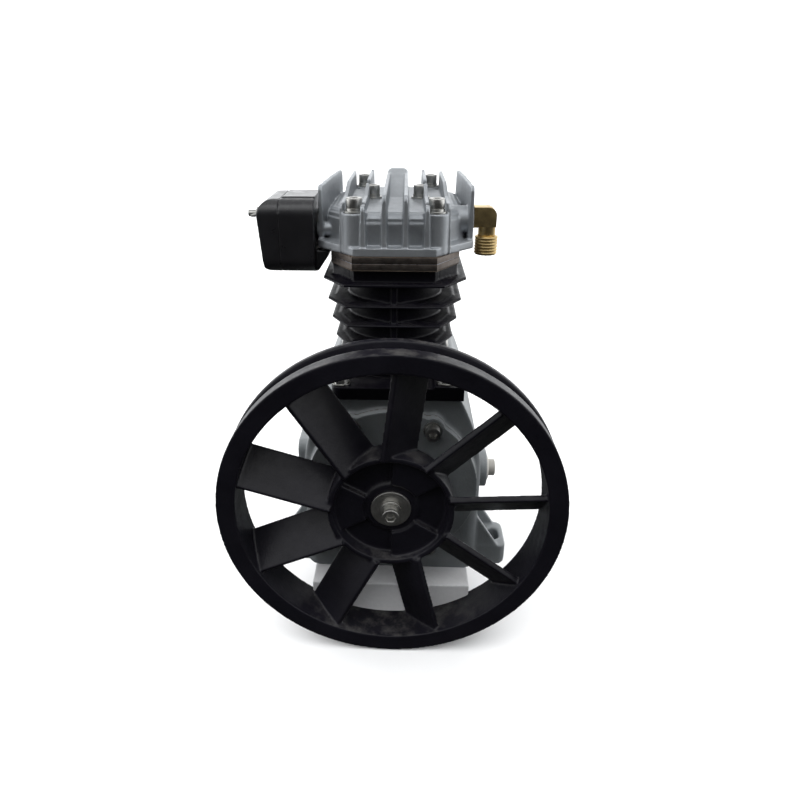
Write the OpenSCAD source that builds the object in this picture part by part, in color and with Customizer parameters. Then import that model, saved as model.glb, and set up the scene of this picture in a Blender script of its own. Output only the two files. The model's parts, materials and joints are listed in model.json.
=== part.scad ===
// Belt-driven reciprocating air compressor pump: two cylinders in line, splash lubricated.
// Origin: centre of the base face. +Z is up, -Y points to the flywheel, +X is the outlet side.

/* [Flywheel] */
// Outside diameter of the flywheel
wheel_d = 300; // [296:1:304]
// Width of the rim along the shaft
wheel_w = 38; // [37:0.5:40]
// Radial thickness of the rim
rim_t = 16.5; // [15:0.5:17.5]
// Number of fan-blade spokes
blade_count = 9; // [7:1:11]
// Angle of the blades from the shaft axis
blade_pitch = 45; // [40:1:48]
// Width of a blade across its face
blade_chord = 40; // [34:1:42]
// Thickness of a blade
blade_t = 5.5; // [4:0.5:6]
// Depth of the V-belt groove
groove_depth = 12; // [10:0.5:12]
// Width of the V-belt groove at its mouth
groove_w = 16; // [13:0.5:17]
// Diameter of the hub bowl
bowl_d = 110; // [104:1:114]

/* [Crank mechanism] */
// Height of the crankshaft axis above the base
shaft_h = 100; // [98:1:102]
// Cylinder bore
bore_d = 65; // [60:1:66]
// Piston stroke
stroke = 46; // [40:1:48]
// Distance between the two cylinder axes
bore_pitch = 88; // [86:1:90]
// Width of a connecting rod at its eyes
rod_w = 20; // [18:1:20]
// Crankpin diameter
crankpin_d = 26; // [24:1:26]
// Wrist pin diameter
wrist_pin_d = 16; // [14:1:16]

/* [Crankcase] */
// Width of the crankcase
case_w = 166; // [164:1:170]
// Length of the crankcase along the shaft
case_l = 206; // [204:1:208]
// Height of the deck that the cylinders stand on
deck_h = 184; // [182:1:188]
// Spacing of the base slots across the pump
slot_dx = 204; // [202:1:206]
// Spacing of the base slots along the pump
slot_dy = 150; // [146:1:154]
// Width of a base slot
slot_w = 11; // [9:0.5:12]
// End-to-end length of a base slot
slot_l = 18; // [16:0.5:20]

/* [Cylinders and head] */
// Top face of the cylinder block above the base
block_top = 296; // [294:1:297]
// Number of cooling fins on the cylinder block
fin_count = 5; // [4:1:5]
// Width of the cylinder head flange
head_w = 134; // [132:1:136]
// Length of the cylinder head along the shaft
head_l = 184; // [183:1:186]
// Top of the cooling ribs above the base
rib_top = 356.5; // [354:0.5:360]
// Thickness of a cooling rib at its foot
rib_t = 5; // [4:0.5:6]

/* [Hidden] */
$fn = 48;
eps = 0.01;             // overshoot of a cut past the face that it opens
fit = 0.05;             // radial clearance of a running fit

throw = stroke / 2;
bore_y = bore_pitch / 2;
// along the shaft
wheel_y = -162;         // front face of the flywheel
cover_y = -115;         // front face of the front cover
cover_t = 8;            // thickness of a cover flange
case_y = case_l / 2;
boss_t = 4;             // how far the machined cover seats stand out
gasket_t = 1;
bearing_y0 = 88;        // inner face of both bearings
bearing_w = 16;
web_t = 11.6;           // thickness of a crank web
web_gap = 0.4;          // running gap between a web and the pin in the rod's eye
web_r = 44;
// up the cylinders
flange_z = deck_h + gasket_t;
flange_t = 11;
plate_t = 4.9;          // each valve plate
reed_t = 0.4;
lower_plate_z = block_top + gasket_t;
reed_z = lower_plate_z + plate_t;
upper_plate_z = reed_z + reed_t;
head_gasket_z = upper_plate_z + plate_t;
head_z = head_gasket_z + 0.8;
head_flange_t = 6.5;
head_body_z = head_z + 33;        // seat of the head bolts
crown_h = 26;                     // wrist pin to piston crown
piston_h = 48;
tdc_gap = 0.6;
front_pin_z = block_top - tdc_gap - crown_h;
rod_len = front_pin_z - shaft_h - throw;
rear_pin_z = shaft_h - throw + rod_len;

wheel_r = wheel_d / 2;
bore_r = bore_d / 2;
crankpin_r = crankpin_d / 2;
wrist_r = wrist_pin_d / 2;
journal_r = 15;
nose_r = 14;            // shaft nose that carries the flywheel
bearing_r = 31;
ball_pitch_r = 23;
ball_r = 4.6;
ball_count = 9;
m8 = 4;                 // radius of an M8 shank
m6 = 3;

head_bolts_xy = [for (s = [-1, 1], j = [-1, 0, 1]) [s * (j == 0 ? 22 : 33.5), j * 78]];
stud_xy = [for (s = [-1, 1], j = [-1, 0, 1]) [s * 46, j * 96]];
cover_bolt_r = 70.6;
rear_bolt_r = 60;
rib_x = [-43.5, -26, -8.7, 8.7, 26, 43.5];
edge_rib_top = rib_top + 3.5;     // the two outermost ribs are the highest
blade_phase = 3.2;      // turn of the first blade from +X, at rest
intake_y = -26;
intake_z = 322;
outlet_y = -42;
outlet_z = 330;
filler_y = -52;
filler_z = 86;
sight_y = 34;
sight_z = 48;
drain_y = 0;
drain_z = 16;
filter_x = -69;         // face of the filter against the head
filter_y0 = -66;
filter_y1 = 8;
filter_z0 = 286;
filter_z1 = 348;
filter_r = 13;          // rounding of the filter's long edges
cap_x = -99;            // seam between the filter housing and its cap
cap_x1 = -117.5;

// ---- plain shapes ----

module box(x0, x1, y0, y1, z0, z1) translate([x0, y0, z0]) cube([x1 - x0, y1 - y0, z1 - z0]);

module bar_x(y, z, x0, x1, r) translate([x0, y, z]) rotate([0, 90, 0]) cylinder(h = x1 - x0, r = r);

module bar_y(x, z, y0, y1, r) translate([x, y0, z]) rotate([-90, 0, 0]) cylinder(h = y1 - y0, r = r);

module bar_z(x, y, z0, z1, r) translate([x, y, z0]) cylinder(h = z1 - z0, r = r);

// A bar along the crankshaft axis
module shaft_bar(y0, y1, r) bar_y(0, shaft_h, y0, y1, r);

module tube_z(x, y, z0, z1, r_out, r_in) difference() {
    bar_z(x, y, z0, z1, r_out);
    bar_z(x, y, z0 - 1, z1 + 1, r_in);
}

// Children drawn around Z are turned onto the crankshaft axis, starting at y
module on_shaft(y) translate([0, y, shaft_h]) rotate([-90, 0, 0]) children();

// Flat plate with chamfered corners: half width hx, half length hy, flat ends of half width fx
module octagon(hx, hy, fx, cy, z0, z1) translate([0, 0, z0]) linear_extrude(z1 - z0)
    polygon([[-fx, -hy], [fx, -hy], [hx, cy - hy], [hx, hy - cy],
             [fx, hy], [-fx, hy], [-hx, hy - cy], [-hx, cy - hy]]);

// Upright prism with rounded vertical edges
module round_prism(hx, hy, r, z0, z1) {
    box(-hx, hx, r - hy, hy - r, z0, z1);
    box(r - hx, hx - r, -hy, hy, z0, z1);
    for (sx = [-1, 1], sy = [-1, 1]) bar_z(sx * (hx - r), sy * (hy - r), z0, z1, r);
}

// Socket head cap screw with its seat at z = 0 and its head upwards
module cap_screw(r, len, head_r, head_h) difference() {
    union() {
        translate([0, 0, -len]) cylinder(h = len + eps, r = r);
        cylinder(h = head_h, r = head_r);
    }
    translate([0, 0, head_h * 0.45]) cylinder(h = head_h, r = head_r * 0.58, $fn = 6);
}

module washer(r_out, r_in, t) difference() {
    cylinder(h = t, r = r_out);
    translate([0, 0, -1]) cylinder(h = t + 2, r = r_in);
}

// Split spring washer
module spring_washer(r_out, r_in, t) difference() {
    washer(r_out, r_in, t);
    rotate([0, 0, 55]) translate([r_in - 1, -0.8, -1]) cube([r_out, 1.6, t + 2]);
}

// ---- flywheel and its fastening ----

module rim() on_shaft(wheel_y) rotate_extrude()
    polygon([
        [wheel_r - rim_t, 0], [wheel_r, 0],
        [wheel_r, groove_y0], [wheel_r - groove_depth, groove_y0 + groove_slope],
        [wheel_r - groove_depth, groove_y0 + groove_w - groove_slope], [wheel_r, groove_y0 + groove_w],
        [wheel_r, wheel_w], [wheel_r - rim_t, wheel_w]
    ]);

groove_y0 = 15.5;       // front edge of the groove from the rim's front face
groove_slope = groove_depth * tan(17);

// Bowl of the hub, its floor and the boss that grips the shaft
bowl_r = bowl_d / 2;
bowl_front = 7.7;
hub_face = 16;          // boss face behind the rim's front face
module hub() on_shaft(wheel_y) rotate_extrude()
    polygon([
        [nose_r, hub_face], [23, hub_face], [26, hub_face + 3], [bowl_r - 7, hub_face + 3],
        [bowl_r - 4.5, bowl_front], [bowl_r, bowl_front], [bowl_r, wheel_w - 5],
        [bowl_r - 5, wheel_w - 5], [bowl_r - 8, hub_face + 11], [30, hub_face + 11],
        [27, wheel_w + 7], [nose_r, wheel_w + 7]
    ]);

// Three raised sectors on the floor of the bowl
module hub_pads() on_shaft(wheel_y + hub_face - 3) intersection() {
    washer(bowl_r - 6.5, 24.5, 7);
    union() {
        for (a = [60, 180, 300]) rotate([0, 0, a]) linear_extrude(7)
            polygon([[0, 0], [70, -38], [70, 38]]);
    }
}

// Blades stand at blade_pitch to the shaft axis and run from the bowl to the rim
module blades() on_shaft(wheel_y + wheel_w / 2) intersection() {
    for (i = [0 : blade_count - 1]) rotate([0, 0, i * 360 / blade_count - blade_phase]) rotate([-blade_pitch, 0, 0])
        translate([bowl_r - 4, -blade_t / 2, -blade_chord / 2])
            cube([wheel_r - bowl_r, blade_t, blade_chord]);
    translate([0, 0, -wheel_w / 2]) washer(wheel_r - rim_t + 1.5, bowl_r - 3, wheel_w);
}

module flywheel() color([0.08, 0.08, 0.09]) difference() {
    union() {
        rim();
        hub();
        hub_pads();
        blades();
    }
    keyway(0.1);
}

// Key of the shaft nose; gap is added all round for the slot that takes it
module keyway(gap) box(-4 - gap, 4 + gap, wheel_y + hub_face + 3 - gap, cover_y - 3,
    shaft_h + nose_r - 4 - gap, shaft_h + nose_r + 3 + gap);

module flywheel_key() color("silver") keyway(0);

module hub_washer() color([0.62, 0.6, 0.55])
    on_shaft(wheel_y + hub_face - 2.5) washer(17.5, 5.2, 2.5);

module hub_spring_washer() color([0.55, 0.55, 0.55])
    on_shaft(wheel_y + hub_face - 5) spring_washer(9, 5.2, 2.5);

module hub_screw() color([0.72, 0.72, 0.72])
    translate([0, wheel_y + hub_face - 5, shaft_h]) rotate([90, 0, 0]) cap_screw(5, 32, 7.6, 10);

// ---- crank train ----

// Crank web: counterweight sector and an arm to the pin; up is +1 or -1
module web(y0, y1, up) {
    intersection() {
        shaft_bar(y0, y1, web_r);
        box(-web_r, web_r, y0, y1, shaft_h + (up > 0 ? -web_r : -8), shaft_h + (up > 0 ? 8 : web_r));
    }
    bar_y(0, shaft_h + up * throw, y0, y1, crankpin_r + 6);
    box(-19, 19, y0, y1, shaft_h + (up > 0 ? 0 : -throw), shaft_h + (up > 0 ? throw : 0));
}

web_in = bore_y - rod_w / 2 - web_gap;      // faces of the webs on both sides of a rod
web_out = bore_y + rod_w / 2 + web_gap;

module crank_front() color([0.5, 0.5, 0.52]) difference() {
    union() {
        shaft_bar(wheel_y + hub_face + 1, -105, nose_r);
        shaft_bar(-105, -bearing_y0, journal_r);
        shaft_bar(-bearing_y0, -web_out - web_t, 19);
        web(-web_out - web_t, -web_out, 1);
    }
    keyway(0);
    shaft_bar(wheel_y, wheel_y + hub_face + 30, 5.05);
}

module crank_centre() color([0.5, 0.5, 0.52]) {
    web(-web_in, -web_in + web_t, 1);
    shaft_bar(-web_in + web_t, web_in - web_t, 19);
    web(web_in - web_t, web_in, -1);
}

module crank_rear() color([0.5, 0.5, 0.52]) {
    web(web_out, web_out + web_t, -1);
    shaft_bar(web_out + web_t, bearing_y0, 19);
    shaft_bar(bearing_y0, bearing_y0 + bearing_w + 1, journal_r);
}

// Ball bearing parts, drawn around Z from z = 0
race_groove_r = ball_r + 0.35;
module outer_race() rotate_extrude() difference() {
    translate([26.6, 0]) square([bearing_r - 26.6, bearing_w]);
    translate([ball_pitch_r, bearing_w / 2]) circle(race_groove_r);
}

module inner_race() rotate_extrude() difference() {
    translate([journal_r, 0]) square([4.4, bearing_w]);
    translate([ball_pitch_r, bearing_w / 2]) circle(race_groove_r);
}

module ball_cage() {
    translate([0, 0, bearing_w / 2 - 3]) washer(ball_pitch_r + 1.6, ball_pitch_r - 1.6, 6);
    for (i = [0 : ball_count - 1]) rotate([0, 0, i * 360 / ball_count])
        translate([ball_pitch_r, 0, bearing_w / 2]) sphere(ball_r);
}

front_bearing_y = -bearing_y0 - bearing_w;
module front_bearing_outer() color("lightgray") on_shaft(front_bearing_y) outer_race();
module front_bearing_inner() color("lightgray") on_shaft(front_bearing_y) inner_race();
module front_ball_cage() color("goldenrod") on_shaft(front_bearing_y) ball_cage();
module rear_bearing_outer() color("lightgray") on_shaft(bearing_y0) outer_race();
module rear_bearing_inner() color("lightgray") on_shaft(bearing_y0) inner_race();
module rear_ball_cage() color("goldenrod") on_shaft(bearing_y0) ball_cage();

// Connecting rod: eyes at pin_z and rod_len below it, with an oil dipper under the big eye
module rod(y, pin_z) {
    big_z = pin_z - rod_len;
    difference() {
        union() {
            bar_y(0, pin_z, y - rod_w / 2, y + rod_w / 2, 12.5);
            bar_y(0, big_z, y - rod_w / 2, y + rod_w / 2, 20);
            box(-8, 8, y - 6, y + 6, big_z + 12, pin_z - 10);
            box(-2.5, 2.5, y - 5, y + 5, big_z - 38, big_z - 18);
        }
        bar_y(0, pin_z, y - rod_w, y + rod_w, wrist_r + fit);
        bar_y(0, big_z, y - rod_w, y + rod_w, crankpin_r);
        for (s = [-1, 1]) box(-4.5, 4.5, y + s * 5 - 2, y + s * 5 + 2, big_z + 26, pin_z - 18);
    }
}

module crankpin(y, z) bar_y(0, z, y - rod_w / 2, y + rod_w / 2, crankpin_r);

ring_z = [5, 11, 18];   // top of each ring groove below the crown
ring_h = 2.5;
module piston(y, pin_z) {
    crown = pin_z + crown_h;
    difference() {
        bar_z(0, y, crown - piston_h, crown, bore_r - 0.08);
        bar_z(0, y, crown - piston_h - 1, crown - 24, bore_r - 5);
        intersection() {
            bar_z(0, y, crown - 25, crown - 9, bore_r - 9);
            box(-bore_r, bore_r, y - 12, y + 12, crown - 25, crown - 9);
        }
        for (z = ring_z) tube_z(0, y, crown - z - ring_h, crown - z, bore_r + 1, bore_r - 4);
        bar_y(0, pin_z, y - 28.5, y + 28.5, wrist_r);
    }
    difference() {
        intersection() {
            bar_y(0, pin_z, y - 29, y + 29, wrist_r + 5);
            bar_z(0, y, crown - piston_h, crown - 20, bore_r - 4.5);
        }
        box(-bore_r, bore_r, y - rod_w / 2 - 0.8, y + rod_w / 2 + 0.8, crown - piston_h, crown);
        bar_y(0, pin_z, y - 30, y + 30, wrist_r);
    }
}

module piston_rings(y, pin_z) for (z = ring_z) difference() {
    tube_z(0, y, pin_z + crown_h - z - ring_h + fit, pin_z + crown_h - z - fit, bore_r - 0.04, bore_r - 3.9);
    box(24, 40, y - 0.5, y + 0.5, pin_z, pin_z + crown_h);
}

pin_half = 25;
module wrist_pin(y, pin_z) difference() {
    bar_y(0, pin_z, y - pin_half, y + pin_half, wrist_r);
    bar_y(0, pin_z, y - pin_half - 1, y + pin_half + 1, 4.5);
}

module circlips(y, pin_z) for (s = [-1, 1])
    translate([0, y + s * (pin_half + 0.8), pin_z]) rotate([90, 0, 0]) translate([0, 0, -0.6]) difference() {
        washer(wrist_r, wrist_r - 1.8, 1.2);
        translate([-2, -wrist_r - 1, -1]) cube([4, 4, 4]);
    }

module front_piston() color("silver") piston(-bore_y, front_pin_z);
module front_piston_rings() color("dimgray") piston_rings(-bore_y, front_pin_z);
module front_wrist_pin() color("lightgray") wrist_pin(-bore_y, front_pin_z);
module front_circlips() color("dimgray") circlips(-bore_y, front_pin_z);
module front_rod() color("silver") rod(-bore_y, front_pin_z);
module front_crankpin() color("lightgray") crankpin(-bore_y, shaft_h + throw);
module rear_piston() color("silver") piston(bore_y, rear_pin_z);
module rear_piston_rings() color("dimgray") piston_rings(bore_y, rear_pin_z);
module rear_wrist_pin() color("lightgray") wrist_pin(bore_y, rear_pin_z);
module rear_circlips() color("dimgray") circlips(bore_y, rear_pin_z);
module rear_rod() color("silver") rod(bore_y, rear_pin_z);
module rear_crankpin() color("lightgray") crankpin(bore_y, shaft_h - throw);

// ---- crankcase and covers ----

// Block whose side walls lean in along a large arc above z_bend
side_r = 185;
bend_z = 95;
module case_form(hw, y0, y1, z0, z1) {
    box(-hw, hw, y0, y1, z0, bend_z);
    intersection() {
        box(-hw, hw, y0, y1, bend_z, z1);
        bar_y(hw - side_r, bend_z, y0, y1, side_r);
        bar_y(side_r - hw, bend_z, y0, y1, side_r);
    }
}

// Seat of a cover: a disc with a lobe around each bolt
module lobed_disc(y0, y1, r, bolt_r, lobe_r) {
    shaft_bar(y0, y1, r);
    for (a = [60, 120, 240, 300])
        bar_y(bolt_r * cos(a), shaft_h + bolt_r * sin(a), y0, y1, lobe_r);
}

module cover_holes(y0, y1, bolt_r, hole_r) for (a = [60, 120, 240, 300])
    bar_y(bolt_r * cos(a), shaft_h + bolt_r * sin(a), y0, y1, hole_r);

foot_t = 22;
foot_x = 113;
module foot(sx, sy) {
    fy = sy * slot_dy / 2;
    difference() {
        union() {
            box(min(sx * 80, sx * (foot_x - 8)), max(sx * 80, sx * (foot_x - 8)), fy - 20.5, fy + 20.5, 0, foot_t);
            box(min(sx * 90, sx * foot_x), max(sx * 90, sx * foot_x), fy - 12.5, fy + 12.5, 0, foot_t);
            for (e = [-12.5, 12.5]) bar_z(sx * (foot_x - 8), fy + e, 0, foot_t, 8);
            for (e = [-17.5, 17.5]) translate([0, fy + e + 2.5, 0]) rotate([90, 0, 0]) linear_extrude(5)
                polygon([[sx * 80, foot_t - 2], [sx * 106, foot_t - 2], [sx * 83, 56], [sx * 80, 56]]);
        }
        base_slot(sx, fy);
    }
}

module base_slot(sx, fy) {
    reach = (slot_l - slot_w) / 2;
    for (e = [-reach, reach]) bar_z(sx * slot_dx / 2, fy + e, -1, foot_t + 1, slot_w / 2);
    box(sx * slot_dx / 2 - slot_w / 2, sx * slot_dx / 2 + slot_w / 2, fy - reach, fy + reach, -1, foot_t + 1);
}

// Blank cast pad on the -X wall
module side_pad() {
    box(-90, -70, -74, -26, 58, 128);
    box(-90, -70, -84, -16, 68, 118);
    for (y = [-74, -26], z = [68, 118]) bar_x(y, z, -90, -70, 10);
}

wall = 8;
module crankcase() color([0.42, 0.43, 0.42]) difference() {
    union() {
        intersection() {
            case_form(case_w / 2, -case_y, case_y, 0, deck_h);
            round_prism(case_w / 2, case_y, 12, 0, deck_h);
        }
        lobed_disc(-case_y - boss_t, -case_y + 1, 78, cover_bolt_r, 11);
        lobed_disc(case_y - 1, case_y + boss_t, 66, rear_bolt_r, 10);
        for (sx = [-1, 1], sy = [-1, 1]) foot(sx, sy);
        bar_x(filler_y, filler_z, 76, 93, 19);
        bar_x(sight_y, sight_z, -89, -76, 20);
        bar_x(drain_y, drain_z, -88, -76, 12);
        side_pad();
    }
    difference() {
        case_form(case_w / 2 - wall, wall - case_y, case_y - wall, wall, deck_h - 12);
        for (xy = stud_xy) bar_z(xy[0], xy[1], deck_h - 40, deck_h, 10);
        cover_holes(-case_y, -case_y + 24, cover_bolt_r, 10);
        cover_holes(case_y - 24, case_y, rear_bolt_r, 10);
    }
    shaft_bar(-case_y - boss_t - 1, -case_y + wall + 1, 57);
    shaft_bar(case_y - wall - 1, case_y + boss_t + 1, 48);
    cover_holes(-case_y - boss_t - 1, -case_y + 20, cover_bolt_r, m8 + fit);
    cover_holes(case_y - 20, case_y + boss_t + 1, rear_bolt_r, m8 + fit);
    for (s = [-1, 1]) bar_z(0, s * bore_y, deck_h - 14, deck_h + 1, 38);
    for (xy = stud_xy) bar_z(xy[0], xy[1], deck_h - 24, deck_h + 1, m8 + fit);
    bar_x(filler_y, filler_z, 70, 94, 10);
    bar_x(sight_y, sight_z, -90, -70, 13);
    bar_x(drain_y, drain_z, -89, -70, 6);
}

// Front cover: lobed flange, spigot, bearing housing and seal seat
module front_cover() color([0.45, 0.46, 0.45]) difference() {
    union() {
        lobed_disc(cover_y, cover_y + cover_t - gasket_t, 78, cover_bolt_r, 11);
        shaft_bar(cover_y, -case_y + 4, 57);
        shaft_bar(cover_y, -bearing_y0, 39);
    }
    difference() {
        shaft_bar(-case_y - 3, -case_y + 5, 50);
        shaft_bar(-case_y - 4, -case_y + 6, 39);
    }
    shaft_bar(front_bearing_y, -bearing_y0 + 1, bearing_r);
    shaft_bar(cover_y - 1, front_bearing_y - 2, 22);
    shaft_bar(cover_y - 1, front_bearing_y + 1, 18);
    cover_holes(cover_y - 1, cover_y + cover_t + 1, cover_bolt_r, m8 + 0.5);
}

module front_cover_gasket() color([0.25, 0.22, 0.18]) difference() {
    lobed_disc(cover_y + cover_t - gasket_t, -case_y - boss_t, 77.5, cover_bolt_r, 10.5);
    shaft_bar(cover_y, -case_y, 57);
    cover_holes(cover_y, -case_y, cover_bolt_r, m8 + 0.5);
}

module face_screws(y, dir, bolt_r) for (a = [60, 120, 240, 300])
    translate([bolt_r * cos(a), y, shaft_h + bolt_r * sin(a)]) rotate([dir * 90, 0, 0]) {
        washer(8, m8 + 0.1, 1.6);
        translate([0, 0, 1.6]) cap_screw(m8, 24, 6.5, 8);
    }

module front_cover_bolts() color([0.7, 0.7, 0.68]) face_screws(cover_y, 1, cover_bolt_r);

module shaft_seal() color([0.15, 0.1, 0.08]) difference() {
    shaft_bar(cover_y + 1, front_bearing_y - 2, 22);
    shaft_bar(cover_y, front_bearing_y, nose_r + fit);
}

rear_y = case_y + boss_t;
module rear_cover() color([0.45, 0.46, 0.45]) difference() {
    union() {
        lobed_disc(rear_y + gasket_t, rear_y + gasket_t + cover_t, 66, rear_bolt_r, 10);
        shaft_bar(bearing_y0, rear_y + gasket_t + cover_t, 39);
        shaft_bar(case_y - 4, rear_y + gasket_t + cover_t, 48);
        shaft_bar(rear_y + gasket_t + cover_t - 1, rear_y + gasket_t + cover_t + 5, 36);
        for (i = [0 : 5]) on_shaft(rear_y + gasket_t + cover_t) rotate([0, 0, 30 + i * 60])
            translate([30, -2, -1]) cube([20, 4, 5]);
    }
    difference() {
        shaft_bar(case_y - 5, case_y + 3, 43);
        shaft_bar(case_y - 6, case_y + 4, 39);
    }
    shaft_bar(bearing_y0 - 1, bearing_y0 + bearing_w, bearing_r);
    shaft_bar(bearing_y0, bearing_y0 + bearing_w + 4, 22);
    cover_holes(rear_y, rear_y + cover_t + 3, rear_bolt_r, m8 + 0.5);
}

module rear_cover_gasket() color([0.25, 0.22, 0.18]) difference() {
    lobed_disc(rear_y, rear_y + gasket_t, 65.5, rear_bolt_r, 9.5);
    shaft_bar(rear_y - 1, rear_y + 2, 48);
    cover_holes(rear_y - 1, rear_y + 2, rear_bolt_r, m8 + 0.5);
}

module rear_cover_bolts() color([0.7, 0.7, 0.68]) face_screws(rear_y + gasket_t + cover_t, -1, rear_bolt_r);

module sight_glass_bezel() color([0.75, 0.72, 0.6]) difference() {
    union() {
        bar_x(sight_y, sight_z, -92, -89, 16);
        bar_x(sight_y, sight_z, -89, -78, 13);
    }
    bar_x(sight_y, sight_z, -93, -77, 9);
}

module sight_glass_lens() color([0.8, 0.7, 0.3, 0.5]) bar_x(sight_y, sight_z, -91, -86, 9);

// Filler plug: threaded shank, collar and knob
module oil_filler_plug() color([0.66, 0.63, 0.56]) {
    bar_x(filler_y, filler_z, 78, 93, 9.9);
    bar_x(filler_y, filler_z, 93, 95, 12.5);
    bar_x(filler_y, filler_z, 95, 102, 8.3);
}

module drain_plug() color([0.6, 0.6, 0.58]) {
    bar_x(drain_y, drain_z, -88, -78, 5.95);
    translate([-94, drain_y, drain_z]) rotate([0, 90, 0]) cylinder(h = 6, r = 9.8, $fn = 6);
}

// ---- cylinder block ----

fin_t = 4.5;
fin_pitch = 17;
fin_z = block_top - 16.7;           // underside of the top fin
// Cooling fin: thick at the root, thin along its edge
module fin(hx, fx, z) {
    octagon(hx - 7, 85, fx - 3, 28, z, z + fin_t);
    octagon(hx, 92, fx, 28, z + 1, z + fin_t - 1);
}

module cylinder_block() color([0.1, 0.1, 0.11]) difference() {
    union() {
        round_prism(54, 106, 8, flange_z, flange_z + flange_t);
        box(36, 62, -106, -80, flange_z, flange_z + flange_t + 2);
        for (s = [-1, 1]) {
            bar_z(0, s * bore_y, flange_z, block_top, 41);
            bar_z(0, s * bore_y, deck_h - 12, flange_z + 1, 38);
        }
        box(-28, 28, -bore_y, bore_y, flange_z, block_top);
        for (s = [-1, 1]) box(-2.2, 2.2, min(s * 84, s * 88), max(s * 84, s * 88), flange_z, fin_z + 2);
        for (i = [0 : fin_count - 1]) fin(62 - 3.2 * i, 42 - 1.2 * i, fin_z - i * fin_pitch + (i == 0 ? 1.5 : 0));
        octagon(54, 85, 34, 26, fin_z + fin_t, block_top);
    }
    for (s = [-1, 1]) bar_z(0, s * bore_y, deck_h - 13, block_top + 1, bore_r);
    for (xy = head_bolts_xy) bar_z(xy[0], xy[1], block_top - 15, block_top + 1, m8 + fit);
    for (xy = stud_xy) bar_z(xy[0], xy[1], flange_z - 1, flange_z + flange_t + 3, m8 + 0.5);
}

module block_gasket() color([0.25, 0.22, 0.18]) difference() {
    round_prism(53.5, 105.5, 8, deck_h, flange_z);
    for (s = [-1, 1]) bar_z(0, s * bore_y, deck_h - 1, flange_z + 1, 38.5);
    for (xy = stud_xy) bar_z(xy[0], xy[1], deck_h - 1, flange_z + 1, m8 + 0.5);
    for (s = [-1, 1]) box(-60, 60, min(s * case_y, s * 110), max(s * case_y, s * 110), deck_h - 1, flange_z + 1);
}

module block_studs() color([0.6, 0.6, 0.58]) for (xy = stud_xy)
    bar_z(xy[0], xy[1], deck_h - 22, flange_z + flange_t + 12, m8);

nut_h = 6.5;
module block_nuts() color([0.72, 0.72, 0.7]) for (xy = stud_xy)
    translate([xy[0], xy[1], flange_z + flange_t + (xy[0] > 0 && xy[1] < -80 ? 2 : 0)]) difference() {
        union() {
            cylinder(h = 1.6, r = 8);
            translate([0, 0, 1.6]) cylinder(h = nut_h, r = 7.5, $fn = 6);
        }
        translate([0, 0, -1]) cylinder(h = nut_h + 4, r = m8 + fit);
    }

// ---- valve plates and head ----

module valve_outline(inset, z0, z1) difference() {
    octagon(55 - inset, 92.5 - inset, 35, 29, z0, z1);
    for (xy = head_bolts_xy) bar_z(xy[0], xy[1], z0 - 1, z1 + 1, m8 + 0.4);
}

module lower_valve_gasket() color([0.3, 0.24, 0.2]) difference() {
    valve_outline(0.4, block_top, lower_plate_z);
    for (s = [-1, 1]) bar_z(0, s * bore_y, block_top - 1, lower_plate_z + 1, bore_r + 0.5);
}

// Ports of both cylinders: intake at -X, discharge at +X
port_x = 15;
module ports(z0, z1, r_in, r_out) for (s = [-1, 1], e = [-9, 9]) {
    bar_z(-port_x, s * bore_y + e, z0, z1, r_in);
    bar_z(port_x, s * bore_y + e, z0, z1, r_out);
}

module lower_valve_plate() color([0.3, 0.28, 0.27]) difference() {
    valve_outline(0, lower_plate_z, reed_z);
    ports(lower_plate_z - 1, reed_z + 1, 7, 4.5);
}

// Spring steel leaf sheet with a tongue over each port
module reed_sheet() color([0.55, 0.55, 0.58]) difference() {
    valve_outline(0.3, reed_z, upper_plate_z);
    for (s = [-1, 1], e = [-9, 9], x = [-port_x, port_x]) difference() {
        box(x - 8, x + 8, s * bore_y + e - 8, s * bore_y + e + 8, reed_z - 1, upper_plate_z + 1);
        bar_z(x, s * bore_y + e, reed_z - 2, upper_plate_z + 2, 6.2);
        box(x - 3, x + 3, s * bore_y, s * bore_y + e * 2, reed_z - 2, upper_plate_z + 2);
    }
}

module upper_valve_plate() color([0.33, 0.3, 0.28]) difference() {
    valve_outline(0, upper_plate_z, head_gasket_z);
    ports(upper_plate_z - 1, head_gasket_z + 1, 4.5, 7);
    for (s = [-1, 1]) bar_z(port_x, s * bore_y, upper_plate_z + 1, head_gasket_z + 1, 2);
}

module reed_stops() color([0.5, 0.5, 0.52]) for (s = [-1, 1]) difference() {
    box(port_x - 5, port_x + 5, s * bore_y - 15, s * bore_y + 15, head_gasket_z, head_gasket_z + 2.5);
    bar_z(port_x, s * bore_y, head_gasket_z - 1, head_gasket_z + 4, 2.1);
}

module reed_stop_screws() color([0.6, 0.6, 0.6]) for (s = [-1, 1])
    translate([port_x, s * bore_y, head_gasket_z + 2.5]) cap_screw(1.95, 5.5, 3.6, 3);

module head_gasket() color([0.3, 0.24, 0.2]) difference() {
    valve_outline(0.4, head_gasket_z, head_z);
    for (s = [-1, 1]) intersection() {
        box(min(s * 5, s * 50), max(s * 5, s * 50), -86, 86, head_gasket_z - 1, head_z + 1);
        octagon(45, 82, 25, 29, head_gasket_z - 1, head_z + 1);
        bolt_clear(head_gasket_z - 2, head_z + 2);
    }
}

// Space of the head chambers without the columns around the bolts
module bolt_clear(z0, z1) difference() {
    box(-80, 80, -100, 100, z0, z1);
    for (xy = head_bolts_xy) bar_z(xy[0], xy[1], z0 - 1, z1 + 1, 9.5);
}

// Length of the head at a rib's place, from the chamfered outline
function rib_reach(x) = abs(x) < 34 ? head_l / 2 : head_l / 2 - (abs(x) - 34) * 35 / 33;

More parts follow.
